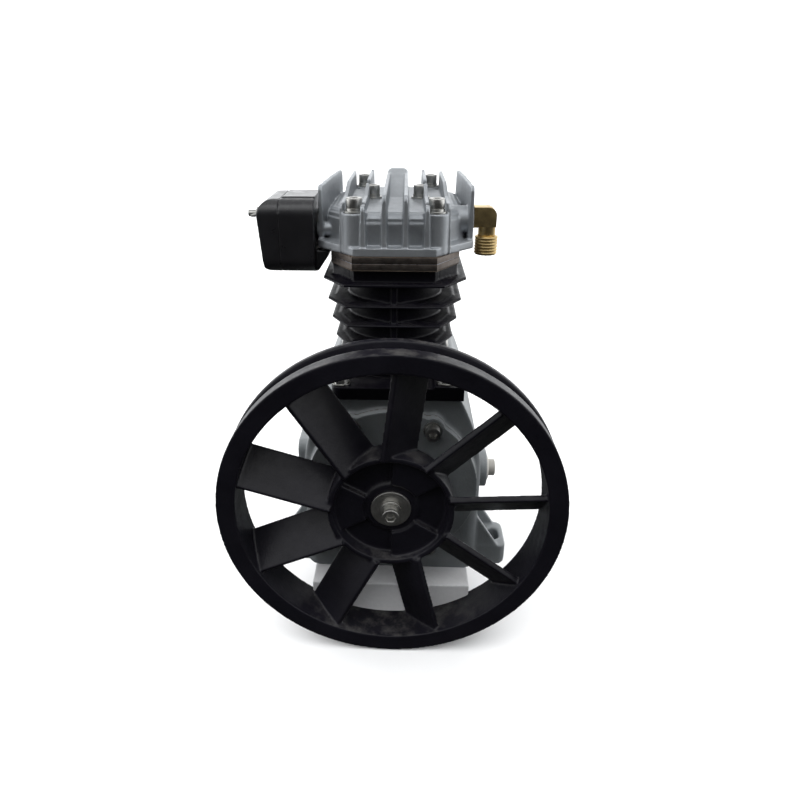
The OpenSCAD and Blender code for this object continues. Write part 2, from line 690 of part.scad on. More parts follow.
// Side view of a rib from y0 to y1: height z0 in front, rising to top behind the middle
module rib_side(y0, y1, z0, top) rotate([0, -90, 0]) translate([0, 0, -6]) linear_extrude(12)
    polygon([[head_z, y0], [z0 - 4, y0], [z0 - 1.2, y0 + 1.2], [z0, y0 + 4], [z0, -38], [top, -4],
             [top, y1 - 4], [top - 1.2, y1 - 1.2], [top - 4, y1], [head_z, y1]]);

// Cross section of a rib, drafted from foot to top
module rib_slab(reach, top) translate([0, reach, 0]) rotate([90, 0, 0]) linear_extrude(2 * reach)
    polygon([[-rib_t / 2, head_z], [rib_t / 2, head_z], [rib_t / 2 - 0.9, top], [0.9 - rib_t / 2, top]]);

module rib(x) {
    reach = rib_reach(x) - 0.8;
    translate([x, 0, 0]) intersection() {
        rib_slab(reach, rib_top);
        rib_side(-reach, reach, abs(x) < 20 ? rib_top : rib_top - 8, rib_top);
    }
}

// Outermost ribs, which close up to the rear, more so on the filter's side
module edge_rib(x, turn) translate([x, 0, 0]) rotate([0, 0, turn]) intersection() {
    rib_slab(54, edge_rib_top);
    rib_side(-54, 54, edge_rib_top - 1, edge_rib_top);
}

module head_shell() {
    octagon(head_w / 2, head_l / 2, 34, 35, head_z, head_z + head_flange_t);
    for (e = [[0, 8], [1.1, 4], [2.7, 2], [4.6, 0.8], [8, 0]])
        octagon(head_w / 2 - 8 - e[0], head_l / 2 - 9 - e[0], 30 - e[0] / 2, 35, head_z, head_body_z - e[1]);
    for (x = rib_x) rib(x);
    edge_rib(62, 2.6);
    edge_rib(-60.2, -4.4);
    for (xy = head_bolts_xy) bar_z(xy[0], xy[1], head_z, head_body_z, 10.5);
    for (w = [18, 13]) translate([w / 2, 0, 0]) rotate([0, -90, 0]) linear_extrude(w)
        polygon([[head_body_z - 1, 1], [rib_top + 3 - w / 5, 58], [rib_top + 6 - w / 5, 66],
                 [rib_top + 6 - w / 5, 76], [rib_top + 4 - w / 5, 79], [head_body_z - 1, 82]]);
    bar_x(intake_y, intake_z, -head_w / 2 - 1, -50, 13);
    bar_x(outlet_y, outlet_z, 50, head_w / 2, 11.5);
    for (y = [intake_y - 22, intake_y + 22]) bar_x(y, intake_z, -head_w / 2 - 1, -52, 6);
}

module cylinder_head() color([0.66, 0.68, 0.7]) difference() {
    head_shell();
    for (s = [-1, 1]) intersection() {
        box(min(s * 4, s * 53), max(s * 4, s * 53), -80, 80, head_z - 1, head_body_z - 6);
        octagon(head_w / 2 - 15, head_l / 2 - 16, 26, 35, head_z - 1, head_body_z - 6);
        bolt_clear(head_z - 2, head_body_z);
    }
    for (xy = head_bolts_xy) {
        bar_z(xy[0], xy[1], head_z - 1, rib_top + 9, m8 + 0.4);
        bar_z(xy[0], xy[1], head_body_z, rib_top + 9, 9.5);
    }
    bar_x(intake_y, intake_z, -head_w / 2 - 2, -40, 9 + fit);
    bar_x(outlet_y, outlet_z, 40, head_w / 2 + 1, 7.5 + fit);
}

washer_z = head_body_z;
module head_washers() color([0.7, 0.7, 0.68]) for (xy = head_bolts_xy) translate([xy[0], xy[1], washer_z]) {
    washer(8.4, m8 + 0.2, 1.6);
    translate([0, 0, 1.6]) spring_washer(6.8, m8 + 0.2, 2.2);
}

module head_bolts() color([0.74, 0.74, 0.72]) for (xy = head_bolts_xy)
    translate([xy[0], xy[1], washer_z + 3.8]) cap_screw(m8, washer_z + 3.8 - block_top + 14, 6.5, 8);

// ---- air filter and outlet ----

module intake_nipple() color([0.6, 0.6, 0.58]) difference() {
    union() {
        bar_x(intake_y, intake_z, -78, -52, 9);
        bar_x(intake_y, intake_z, filter_x, -head_w / 2 - 1, 14);
    }
    bar_x(intake_y, intake_z, -79, -51, 6.5);
}

// Box with rounded long edges along X
module filter_form(x0, x1, inset, r) {
    y0 = filter_y0 + inset;
    y1 = filter_y1 - inset;
    z0 = filter_z0 + inset;
    z1 = filter_z1 - inset;
    box(x0, x1, y0 + r, y1 - r, z0, z1);
    box(x0, x1, y0, y1, z0 + r, z1 - r);
    for (y = [y0 + r, y1 - r], z = [z0 + r, z1 - r]) bar_x(y, z, x0, x1, r);
}

// The outer end as seen along Y: rounded above and below, and leaning in a little downwards
end_r = 13;
module filter_end() intersection() {
    union() {
        box(cap_x1 + end_r, filter_x, filter_y0 - 1, filter_y1 + 1, filter_z0, filter_z1);
        box(cap_x1, filter_x, filter_y0 - 1, filter_y1 + 1, filter_z0 + end_r, filter_z1 - end_r);
        for (z = [filter_z0 + end_r, filter_z1 - end_r])
            bar_y(cap_x1 + end_r, z, filter_y0 - 1, filter_y1 + 1, end_r);
    }
    translate([0, filter_y1 + 2, 0]) rotate([90, 0, 0]) linear_extrude(filter_y1 - filter_y0 + 4)
        polygon([[filter_x, filter_z0 - 1], [cap_x1 + 4, filter_z0 - 1], [cap_x1, filter_z1 - 12],
                 [cap_x1, filter_z1 + 1], [filter_x, filter_z1 + 1]]);
}

module filter_housing() color([0.07, 0.07, 0.075]) difference() {
    union() {
        filter_form(cap_x, filter_x, 0, filter_r);
        box(cap_x + 2, filter_x, filter_y0 + 16, filter_y1 - 16, filter_z1 - 1, filter_z1 + 1.2);
        translate([0, filter_y1 - 8, 0]) rotate([90, 0, 0]) linear_extrude(filter_y1 - filter_y0 - 16)
            polygon([[filter_x - 1, filter_z0 + 1], [filter_x + 2, filter_z0 + 1], [-57.5, filter_z0 + 15],
                     [-57.5, filter_z0 + 19], [filter_x - 1, filter_z0 + 19]]);
    }
    filter_form(cap_x - 1, filter_x - 3, 3, filter_r - 3);
    bar_x(intake_y, intake_z, -80, -60, 9 + fit);
}

module filter_cap() color([0.07, 0.07, 0.075]) difference() {
    intersection() {
        filter_form(cap_x1, cap_x, 0, filter_r);
        filter_end();
    }
    filter_form(cap_x1 + 7.5, cap_x + 1, 3, filter_r - 3);
    bar_x(stud_y, stud_z, cap_x1 - 1, cap_x1 + 9, m6 + 0.3);
}

stud_y = intake_y;
stud_z = intake_z + 9;
module filter_element() color([0.85, 0.82, 0.7]) difference() {
    filter_form(cap_x1 + 9, -80, 8, filter_r - 8);
    filter_form(cap_x1 + 15, -79, 18, 4);
    bar_x(stud_y, stud_z, cap_x1, -70, m6 + 0.3);
}

// Stud that crosses the filter and carries the wing nut; its foot bridges the nipple
module filter_stud() color([0.7, 0.7, 0.68]) {
    bar_x(stud_y, stud_z, cap_x1 - 15, -80, m6);
    box(-80, -78, stud_y - 14, stud_y + 14, stud_z - 10, stud_z + 4);
}

module filter_wing_nut() color([0.7, 0.7, 0.68]) difference() {
    union() {
        bar_x(stud_y, stud_z, cap_x1 - 7, cap_x1, 5.5);
        for (s = [-1, 1]) translate([cap_x1 - 7, stud_y, stud_z]) rotate([s * 90, 0, 0])
            translate([0, -1, 3]) rotate([0, -18, 0]) cube([4, 2, 11]);
    }
    bar_x(stud_y, stud_z, cap_x1 - 8, cap_x1 + 1, m6 + fit);
}

elbow_x = 79.5;
leg_r = 7.5;
module outlet_elbow() color([0.72, 0.55, 0.25]) difference() {
    union() {
        box(head_w / 2 + 0.4, elbow_x - 1, outlet_y - 8, outlet_y + 8, 324.5, 341);
        box(elbow_x - 2, elbow_x + 7, outlet_y - 8, outlet_y + 8, 324.5, 334);
        bar_y(elbow_x, 334, outlet_y - 8, outlet_y + 8, 7);
        bar_x(outlet_y, outlet_z, 54, elbow_x - 8, 7.5);
        bar_z(elbow_x, outlet_y, 305, 326, leg_r);
    }
    bar_x(outlet_y, outlet_z, 53, elbow_x, 4.5);
    bar_z(elbow_x, outlet_y, 304, outlet_z, 4.5);
}

// Threaded union below the elbow; the thread is drawn as plain rings
module outlet_nut() color([0.76, 0.58, 0.28]) difference() {
    union() {
        bar_z(elbow_x, outlet_y, 300, 316, 9.3);
        for (i = [0 : 5]) bar_z(elbow_x, outlet_y, 301 + i * 2.6, 302.4 + i * 2.6, 10);
    }
    bar_z(elbow_x, outlet_y, 305, 317, leg_r + fit);
    bar_z(elbow_x, outlet_y, 299, 306, 4.5);
}

crankcase();
front_cover();
front_cover_gasket();
front_cover_bolts();
shaft_seal();
front_bearing_outer();
front_bearing_inner();
front_ball_cage();
rear_bearing_outer();
rear_bearing_inner();
rear_ball_cage();
rear_cover();
rear_cover_gasket();
rear_cover_bolts();
sight_glass_bezel();
sight_glass_lens();
oil_filler_plug();
drain_plug();
cylinder_block();
block_gasket();
block_studs();
block_nuts();
lower_valve_gasket();
lower_valve_plate();
reed_sheet();
upper_valve_plate();
reed_stops();
reed_stop_screws();
head_gasket();
cylinder_head();
head_bolts();
head_washers();
intake_nipple();
filter_housing();
filter_element();
filter_cap();
filter_stud();
filter_wing_nut();
outlet_elbow();
outlet_nut();
flywheel();
flywheel_key();
hub_washer();
hub_spring_washer();
hub_screw();
crank_front();
crank_centre();
crank_rear();
front_piston();
front_piston_rings();
front_wrist_pin();
front_circlips();
front_rod();
front_crankpin();
rear_piston();
rear_piston_rings();
rear_wrist_pin();
rear_circlips();
rear_rod();
rear_crankpin();
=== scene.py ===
import json
import math

import bmesh
import bpy
from mathutils import Matrix, Vector


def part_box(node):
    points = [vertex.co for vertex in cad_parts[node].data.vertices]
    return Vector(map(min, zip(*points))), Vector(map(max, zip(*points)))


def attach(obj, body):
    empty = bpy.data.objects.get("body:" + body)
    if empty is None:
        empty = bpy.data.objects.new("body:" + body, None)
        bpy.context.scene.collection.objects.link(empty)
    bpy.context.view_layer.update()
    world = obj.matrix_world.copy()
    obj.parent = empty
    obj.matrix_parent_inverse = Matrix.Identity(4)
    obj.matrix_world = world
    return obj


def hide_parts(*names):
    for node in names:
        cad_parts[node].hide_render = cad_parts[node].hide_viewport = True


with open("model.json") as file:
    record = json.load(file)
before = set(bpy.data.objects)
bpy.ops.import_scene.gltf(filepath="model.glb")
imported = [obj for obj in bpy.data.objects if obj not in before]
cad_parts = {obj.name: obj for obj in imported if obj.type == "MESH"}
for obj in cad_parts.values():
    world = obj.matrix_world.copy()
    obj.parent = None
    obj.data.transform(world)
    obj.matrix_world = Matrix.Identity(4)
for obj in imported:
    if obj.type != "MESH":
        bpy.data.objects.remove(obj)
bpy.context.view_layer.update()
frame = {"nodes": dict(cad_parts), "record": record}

nodes = frame["nodes"]
body_of = {n: b for b, ns in frame["record"]["behaviour"]["bodies"].items() for n in ns}
slot_of = {s["node"]: s["material_slot"] for s in frame["record"]["subparts"]}
MM = 0.001


# ---------------------------------------------------------------- camera

CAM_PLACE = (0.008, -0.6174, 0.4335)
CAM_PITCH_DOWN = 24.6
CAM_YAW = 2.3
CAM_LENS_MM = 29.25
CAM_SENSOR_MM = 36.0
CAM_SHIFT = (0.027, -0.0184)
CAM_CLIP = (0.05, 100.0)


def add_camera():
    """Looks down on the pump from the front, a little to the right of the shaft."""
    data = bpy.data.cameras.new("camera")
    data.sensor_width = CAM_SENSOR_MM
    data.lens = CAM_LENS_MM
    data.shift_x, data.shift_y = CAM_SHIFT
    data.clip_start, data.clip_end = CAM_CLIP
    cam = bpy.data.objects.new("camera", data)
    cam.location = CAM_PLACE
    cam.rotation_euler = (math.radians(90 - CAM_PITCH_DOWN), 0.0, math.radians(CAM_YAW))
    bpy.context.scene.collection.objects.link(cam)
    bpy.context.scene.camera = cam


add_camera()


# ---------------------------------------------------------------- shader helpers

def scaled(colour, gain, lift=0.0):
    """The colour times gain plus lift, with no channel above 1."""
    return tuple(min(1.0, c * gain + lift) for c in colour)


class Shader:
    """One material's node tree, with short calls for the nodes that it is made of."""

    def __init__(self, name):
        self.mat = bpy.data.materials.new(name)
        self.mat.use_nodes = True
        self.tree = self.mat.node_tree
        self.bsdf = self.tree.nodes["Principled BSDF"]
        coords = self.tree.nodes.new("ShaderNodeTexCoord")
        self.place = coords.outputs["Object"]

    def node(self, kind, inputs=(), **props):
        n = self.tree.nodes.new(kind)
        for k, v in props.items():
            setattr(n, k, v)
        for k, v in dict(inputs).items():
            if isinstance(v, bpy.types.NodeSocket):
                self.tree.links.new(v, n.inputs[k])
            else:
                n.inputs[k].default_value = v
        return n

    def noise(self, scale, detail=4.0, rough=0.55, place=None, distort=0.0):
        return self.node("ShaderNodeTexNoise", {
            "Vector": place or self.place, "Scale": scale, "Detail": detail,
            "Roughness": rough, "Distortion": distort}).outputs["Fac"]

    def speckle(self, scale, place=None):
        """Distance to random cell centres: grains, pits and pores."""
        return self.node("ShaderNodeTexVoronoi", {
            "Vector": place or self.place, "Scale": scale}).outputs["Distance"]

    def ramp(self, fac, stops):
        n = self.node("ShaderNodeValToRGB", {"Fac": fac})
        n.color_ramp.elements.remove(n.color_ramp.elements[1])
        for i, (pos, c) in enumerate(stops):
            c = (c, c, c, 1.0) if isinstance(c, (int, float)) else (*c, 1.0)
            e = n.color_ramp.elements[0] if i == 0 else n.color_ramp.elements.new(pos)
            e.position = pos
            e.color = c
        return n.outputs["Color"]

    def mix(self, fac, a, b):
        n = self.node("ShaderNodeMix", data_type="RGBA")
        for k, v in (("Factor", fac), ("A", a), ("B", b)):
            sock = next(s for s in n.inputs
                        if s.name == k and s.enabled and (k == "Factor") == (s.type == "VALUE"))
            if isinstance(v, bpy.types.NodeSocket):
                self.tree.links.new(v, sock)
            else:
                sock.default_value = v if k == "Factor" else (*v, 1.0)
        return next(s for s in n.outputs if s.enabled)

    def math(self, op, a, b=0.0, clamp=False):
        n = self.node("ShaderNodeMath", operation=op, use_clamp=clamp)
        for i, v in enumerate((a, b)):
            if isinstance(v, bpy.types.NodeSocket):
                self.tree.links.new(v, n.inputs[i])
            else:
                n.inputs[i].default_value = v
        return n.outputs[0]

    def edges(self, low=0.52, high=0.60):
        """1 on outer edges and corners, 0 elsewhere."""
        geo = self.node("ShaderNodeNewGeometry")
        return self.ramp(geo.outputs["Pointiness"], [(low, 0.0), (high, 1.0)])

    def upward(self, low=0.3, high=0.9):
        """1 on faces that look up: where dust settles, and where the castings get a painted overhead
        highlight.
        """
        geo = self.node("ShaderNodeNewGeometry")
        up = self.node("ShaderNodeSeparateXYZ", {"Vector": geo.outputs["Normal"]}).outputs["Z"]
        return self.ramp(up, [(low, 0.0), (high, 1.0)])

    def stretched(self, sx, sy, sz):
        """Coordinates scaled by axis, for marks that run one way."""
        return self.node("ShaderNodeMapping", {
            "Vector": self.place, "Scale": (sx, sy, sz)}).outputs["Vector"]

    def bump(self, layers):
        """layers: (height socket, strength, distance in metres), the coarsest first."""
        normal = None
        for height, strength, distance in layers:
            inputs = {"Height": height, "Strength": strength, "Distance": distance}
            if normal is not None:
                inputs["Normal"] = normal
            normal = self.node("ShaderNodeBump", inputs).outputs["Normal"]
        self.tree.links.new(normal, self.bsdf.inputs["Normal"])

    def set(self, **values):
        """Base_Color=..., Roughness=...: a socket is linked, other values are set."""
        for k, v in values.items():
            sock = self.bsdf.inputs[k.replace("_", " ")]
            if isinstance(v, bpy.types.NodeSocket):
                self.tree.links.new(v, sock)
            else:
                sock.default_value = (*v, 1.0) if isinstance(v, tuple) and len(v) == 3 else v


# ---------------------------------------------------------------- materials

# Colour laid on up-facing casting faces: partly dust, partly a painted highlight of the overhead
# light.
DUST_AND_TOP_SHEEN = (0.30, 0.29, 0.27)
PALE_DUST = (0.42, 0.41, 0.40)


def painted_casting(name, dark, light, bare, rough, grain, wear,
                    coat=0.0, gloss=0.5, dust_and_sheen=0.22):
    """Paint over a sand casting: orange peel, a sandy skin below it, thin paint on edges."""
    s = Shader(name)
    cloud = s.noise(18.0, 5.0)
    body = s.mix(s.ramp(cloud, [(0.35, 0.0), (0.7, 1.0)]), dark, light)
    patchy = s.math("MULTIPLY", s.edges(0.53, 0.62),
                    s.ramp(s.noise(140.0, 6.0, 0.7), [(0.42, 0.0), (0.62, wear)]))
    # Up-facing faces are lightened towards that colour: settled dust, and a painted highlight where
    # overhead light falls on the tops.
    upward_lightening = s.math("MULTIPLY", s.upward(0.72, 0.97),
                  s.ramp(s.noise(60.0, 6.0, 0.7), [(0.45, 0.0), (0.8, dust_and_sheen)]))
    colour = s.mix(patchy, body, bare)
    colour = s.mix(upward_lightening, colour, DUST_AND_TOP_SHEEN)
    scuffs = s.ramp(s.noise(85.0, 8.0, 0.75), [(0.3, rough - 0.08), (0.75, rough + 0.13)])
    s.set(Base_Color=colour, Roughness=scuffs, Metallic=0.0,
          Coat_Weight=coat, Coat_Roughness=0.18, Specular_IOR_Level=gloss)
    s.bump([
        (s.noise(55.0, 3.0), 0.30, 0.0016),
        (s.speckle(620.0), grain, 0.0004),
        (s.noise(1500.0, 3.0), grain * 0.8, 0.00025),
    ])
    return s.mat


def bare_casting(name, dark, light, rough, shine):
    """Unpainted die-cast aluminium: dull silver with flow marks, pits and brighter edges."""
    s = Shader(name)
    flow = s.noise(32.0, 6.0, 0.6, s.stretched(1.0, 0.45, 1.0), 0.6)
    body = s.mix(s.ramp(flow, [(0.3, 0.0), (0.72, 1.0)]), dark, light)
    rubbed = s.math("MULTIPLY", s.edges(0.525, 0.60),
                    s.ramp(s.noise(210.0, 5.0), [(0.35, 0.25), (0.65, 0.85)]))
    colour = s.mix(rubbed, body, scaled(light, 1.35))
    pits = s.ramp(s.speckle(900.0), [(0.05, 0.75), (0.22, 1.0)])
    colour = s.mix(s.math("SUBTRACT", 1.0, pits), colour, scaled(dark, 0.4))
    scuffs = s.ramp(s.noise(120.0, 6.0, 0.7), [(0.25, rough - 0.07), (0.8, rough + 0.16)])
    s.set(Base_Color=colour, Roughness=scuffs, Metallic=shine)
    s.bump([
        (s.noise(70.0, 3.0), 0.22, 0.0010),
        (s.speckle(800.0), 0.16, 0.0003),
        (s.noise(2100.0, 2.0), 0.12, 0.00018),
    ])
    return s.mat


def turned_metal(name, dark, light, rough, stretch=(60.0, 60.0, 900.0),
                 stain=None, stain_amount=0.0):
    """Machined or plated metal: fine tool marks, handling smudges and optional tarnish."""
    s = Shader(name)
    marks = s.noise(1.0, 4.0, 0.6, s.stretched(*stretch))
    smudge = s.noise(150.0, 6.0, 0.65)
    colour = s.mix(s.ramp(smudge, [(0.3, 0.0), (0.7, 1.0)]), dark, light)
    if stain:
        spots = s.ramp(s.noise(230.0, 7.0, 0.7), [(0.48, 0.0), (0.75, stain_amount)])
        colour = s.mix(spots, colour, stain)
    colour = s.mix(s.math("MULTIPLY", s.edges(0.54, 0.64), 0.6), colour, scaled(light, 1.3))
    uneven = s.math("ADD", s.math("MULTIPLY", marks, 0.5), s.math("MULTIPLY", smudge, 0.5))
    s.set(Base_Color=colour, Metallic=1.0,
          Roughness=s.ramp(uneven, [(0.3, rough - 0.08), (0.7, rough + 0.12)]))
    s.bump([(marks, 0.10, 0.00012), (s.noise(900.0, 3.0), 0.06, 0.00012)])
    return s.mat


def moulded_plastic(name, dark, light, rough, texture, coat=0.0):
    """Injection-moulded plastic with a fine spark-eroded skin and polished edges."""
    s = Shader(name)
    cloud = s.noise(24.0, 4.0)
    colour = s.mix(s.ramp(cloud, [(0.3, 0.0), (0.75, 1.0)]), dark, light)
    upward_lightening = s.math("MULTIPLY", s.upward(),
                  s.ramp(s.noise(320.0, 8.0, 0.75), [(0.5, 0.0), (0.85, 0.14)]))
    colour = s.mix(upward_lightening, colour, PALE_DUST)
    polished = s.math("MULTIPLY", s.edges(0.54, 0.64), 0.35)
    colour = s.mix(polished, colour, scaled(light, 2.0, 0.01))
    scuffs = s.ramp(s.noise(95.0, 7.0, 0.7), [(0.3, rough - 0.07), (0.75, rough + 0.12)])
    s.set(Base_Color=colour, Roughness=scuffs, Coat_Weight=coat, Coat_Roughness=0.25)
    s.bump([(s.noise(38.0, 2.0), 0.10, 0.0010), (s.speckle(1500.0), texture, 0.00015)])
    return s.mat


def fibre_gasket(name, dark, light):
    """Pressed fibre sheet with oil soaked into it in patches."""
    s = Shader(name)
    fibre = s.noise(1.0, 5.0, 0.7, s.stretched(260.0, 700.0, 1500.0), 1.0)
    oil = s.ramp(s.noise(45.0, 6.0, 0.7), [(0.45, 0.0), (0.7, 0.7)])
    s.set(Base_Color=s.mix(oil, s.mix(fibre, dark, light), scaled(dark, 0.4)),
          Roughness=s.ramp(oil, [(0.0, 0.85), (1.0, 0.45)]))
    s.bump([(fibre, 0.35, 0.0003)])
    return s.mat


def clear_window(name):
    """Oil-tinted clear window."""
    s = Shader(name)
    haze = s.noise(90.0, 5.0)
    s.set(Base_Color=s.mix(haze, (0.80, 0.62, 0.22), (0.90, 0.76, 0.36)),
          Roughness=s.ramp(haze, [(0.3, 0.06), (0.8, 0.18)]),
          Transmission_Weight=0.7, IOR=1.49)
    s.bump([(s.noise(220.0, 3.0), 0.08, 0.0002)])
    return s.mat


def pleated_paper(name):
    """Pleated filter paper."""
    s = Shader(name)
    pleat = s.node("ShaderNodeTexWave", {"Vector": s.place, "Scale": 75.0, "Distortion": 0.6},
                   bands_direction="Y").outputs["Fac"]
    # The colour follows the pleat wave, dark in the folds and light on the crests: painted shade in
    # the pleat valleys.
    s.set(Base_Color=s.mix(pleat, (0.45, 0.40, 0.28), (0.78, 0.74, 0.60)),
          Roughness=s.ramp(pleat, [(0.0, 0.8), (1.0, 0.95)]))
    s.bump([(pleat, 0.8, 0.0015), (s.noise(800.0, 4.0), 0.3, 0.0003)])
    return s.mat


def soft_rubber(name):
    """Black rubber with a faint bloom."""
    s = Shader(name)
    bloom = s.noise(130.0, 6.0)
    s.set(Base_Color=s.mix(bloom, (0.015, 0.014, 0.014), (0.05, 0.045, 0.045)),
          Roughness=s.ramp(bloom, [(0.3, 0.45), (0.8, 0.75)]))
    s.bump([(s.noise(900.0, 3.0), 0.2, 0.0002)])
    return s.mat


# How each material slot looks: the function that makes it and its arguments.
LOOKS = {
    "case_paint": (painted_casting, dict(
        dark=(0.185, 0.199, 0.207), light=(0.255, 0.271, 0.280), bare=(0.42, 0.42, 0.42),
        rough=0.38, grain=0.20, wear=0.45)),
    # The last amount lightens the wheel's up-facing faces, such as the rim top: dust, and a painted
    # highlight of the overhead light.
    "wheel_iron": (painted_casting, dict(
        dark=(0.0042, 0.0038, 0.0062), light=(0.0080, 0.0074, 0.0112), bare=(0.05, 0.05, 0.058),
        rough=0.40, grain=0.20, wear=0.20, coat=0.06, gloss=0.22, dust_and_sheen=0.26)),
    "black_iron": (painted_casting, dict(
        dark=(0.0034, 0.0030, 0.0050), light=(0.0062, 0.0056, 0.0088), bare=(0.07, 0.07, 0.075),
        rough=0.38, grain=0.16, wear=0.25, coat=0.04, gloss=0.14, dust_and_sheen=0.06)),
    "head_alloy": (bare_casting, dict(
        dark=(0.30, 0.316, 0.334), light=(0.43, 0.450, 0.470), rough=0.44, shine=0.74)),
    "piston_alloy": (bare_casting, dict(
        dark=(0.55, 0.56, 0.57), light=(0.72, 0.73, 0.74), rough=0.32, shine=1.0)),
    "bezel_alloy": (turned_metal, dict(
        dark=(0.48, 0.48, 0.46), light=(0.66, 0.66, 0.64), rough=0.30)),
    "plate_steel": (turned_metal, dict(
        dark=(0.105, 0.092, 0.082), light=(0.190, 0.165, 0.148), rough=0.40,
        stretch=(40.0, 40.0, 700.0), stain=(0.10, 0.055, 0.03), stain_amount=0.35)),
    "spring_steel": (turned_metal, dict(
        dark=(0.20, 0.22, 0.27), light=(0.36, 0.38, 0.43), rough=0.28)),
    "zinc_steel": (turned_metal, dict(
        dark=(0.40, 0.395, 0.375), light=(0.58, 0.575, 0.55), rough=0.30,
        stretch=(300.0, 300.0, 900.0), stain=(0.30, 0.26, 0.18), stain_amount=0.25)),
    "machined_steel": (turned_metal, dict(
        dark=(0.36, 0.355, 0.335), light=(0.50, 0.49, 0.465), rough=0.34,
        stretch=(900.0, 60.0, 900.0))),
    "bearing_steel": (turned_metal, dict(
        dark=(0.55, 0.56, 0.58), light=(0.72, 0.73, 0.75), rough=0.16, stretch=(60.0, 900.0, 60.0))),
    "cage_brass": (turned_metal, dict(
        dark=(0.50, 0.36, 0.15), light=(0.68, 0.52, 0.25), rough=0.30)),
    "fitting_brass": (turned_metal, dict(
        dark=(0.60, 0.44, 0.20), light=(0.78, 0.60, 0.30), rough=0.34,
        stretch=(120.0, 120.0, 800.0), stain=(0.30, 0.18, 0.07), stain_amount=0.45)),
    "bush_bronze": (turned_metal, dict(
        dark=(0.40, 0.26, 0.13), light=(0.55, 0.38, 0.20), rough=0.30)),
    "ring_iron": (turned_metal, dict(
        dark=(0.12, 0.12, 0.12), light=(0.22, 0.22, 0.22), rough=0.32)),
    "filter_plastic": (moulded_plastic, dict(
        dark=(0.0075, 0.0072, 0.0085), light=(0.013, 0.0125, 0.0145), rough=0.32, texture=0.10,
        coat=0.3)),
    "plug_plastic": (moulded_plastic, dict(
        dark=(0.36, 0.345, 0.315), light=(0.46, 0.445, 0.41), rough=0.42, texture=0.08)),
    "gasket_paper": (fibre_gasket, dict(
        dark=(0.075, 0.055, 0.040), light=(0.16, 0.125, 0.095))),
    "filter_foam": (pleated_paper, {}),
    "seal_rubber": (soft_rubber, {}),
    "sight_glass": (clear_window, {}),
}
MATERIALS = {slot: make(slot, **look) for slot, (make, look) in LOOKS.items()}


def paint(obj, slot):
    """The slot's material and no other."""
    obj.data.materials.clear()
    obj.data.materials.append(MATERIALS[slot])


# ---------------------------------------------------------------- pieces that stand for CAD nodes

WELD_DISTANCE = 2e-6
FLAT_ANGLE = math.radians(0.8)
RELAX_FACTOR = 0.5
BEVEL_SEGMENTS = 2
BEVEL_ANGLE = math.radians(32)
SHARP_ANGLE = math.radians(35)


def welded_copy(node):
    """The node's mesh in a new object, closed and made of flat polygons."""
    src = nodes[node].data
    bm = bmesh.new()
    bm.from_mesh(src)
    bmesh.ops.remove_doubles(bm, verts=bm.verts, dist=WELD_DISTANCE)
    bmesh.ops.dissolve_limit(bm, angle_limit=FLAT_ANGLE, verts=bm.verts, edges=bm.edges)
    mesh = bpy.data.meshes.new(node + "_piece")
    bm.to_mesh(mesh)
    bm.free()
    obj = bpy.data.objects.new(node + "_piece", mesh)
    bpy.context.scene.collection.objects.link(obj)
    return obj


def apply_modifiers(obj):
    """Puts the modified mesh in place of the object's own."""
    bpy.context.view_layer.update()
    graph = bpy.context.evaluated_depsgraph_get()
    mesh = bpy.data.meshes.new_from_object(obj.evaluated_get(graph))
    obj.modifiers.clear()
    old = obj.data
    obj.data = mesh
    bpy.data.meshes.remove(old)


def keep_inside(obj, node):
    """No vertex leaves the CAD node's box."""
    low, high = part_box(node)
    for v in obj.data.vertices:
        v.co = Vector(min(max(v.co[i], low[i]), high[i]) for i in range(3))


def stand_for(obj, node):
    """Keeps the object in the node's box, gives it the slot's material and body, and hides the node.
    """
    keep_inside(obj, node)
    paint(obj, slot_of[node])
    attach(obj, body_of[node])
    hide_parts(node)


def cast_piece(node, voxel, smooth):
    """Rounded casting: the node remeshed finely and its edges relaxed."""
    obj = welded_copy(node)
    remesh = obj.modifiers.new("remesh", "REMESH")
    remesh.mode = "VOXEL"
    remesh.voxel_size = voxel
    relax = obj.modifiers.new("relax", "SMOOTH")
    relax.factor = RELAX_FACTOR
    relax.iterations = smooth
    apply_modifiers(obj)
    obj.data.shade_smooth()
    stand_for(obj, node)


def bevelled_piece(node, width):
    """Machined piece: the node with its edges broken by a small round."""
    obj = welded_copy(node)
    bevel = obj.modifiers.new("bevel", "BEVEL")
    bevel.width = width
    bevel.segments = BEVEL_SEGMENTS
    bevel.limit_method = "ANGLE"
    bevel.angle_limit = BEVEL_ANGLE
    bevel.use_clamp_overlap = True
    bevel.harden_normals = False
    obj.modifiers.new("tri", "TRIANGULATE")
    apply_modifiers(obj)
    obj.data.shade_smooth()
    obj.data.set_sharp_from_angle(angle=SHARP_ANGLE)
    stand_for(obj, node)


# Voxel size in mm and smoothing steps of each casting and moulding.
CAST = (
    ("crankcase", 1.3, 3), ("front_cover", 1.0, 2), ("rear_cover", 1.0, 2),
    ("cylinder_block", 1.0, 2), ("cylinder_head", 0.8, 3), ("flywheel", 1.1, 3),
    ("filter_housing", 0.9, 2), ("filter_cap", 0.8, 2),
)
# Width in mm of the broken edges of each machined piece.
BEVELLED = (
    ("front_cover_bolts", 0.5), ("rear_cover_bolts", 0.5), ("head_bolts", 0.5),
    ("head_washers", 0.25), ("block_nuts", 0.5), ("block_studs", 0.6), ("hub_screw", 0.6),
    ("hub_washer", 0.4), ("hub_spring_washer", 0.3), ("filter_wing_nut", 0.5),
    ("filter_stud", 0.5), ("outlet_elbow", 1.2), ("outlet_nut", 0.6), ("oil_filler_plug", 1.0),
    ("drain_plug", 0.7), ("sight_glass_bezel", 0.6), ("sight_glass_lens", 0.4),
    ("lower_valve_plate", 0.35), ("upper_valve_plate", 0.35), ("intake_nipple", 0.6),
)

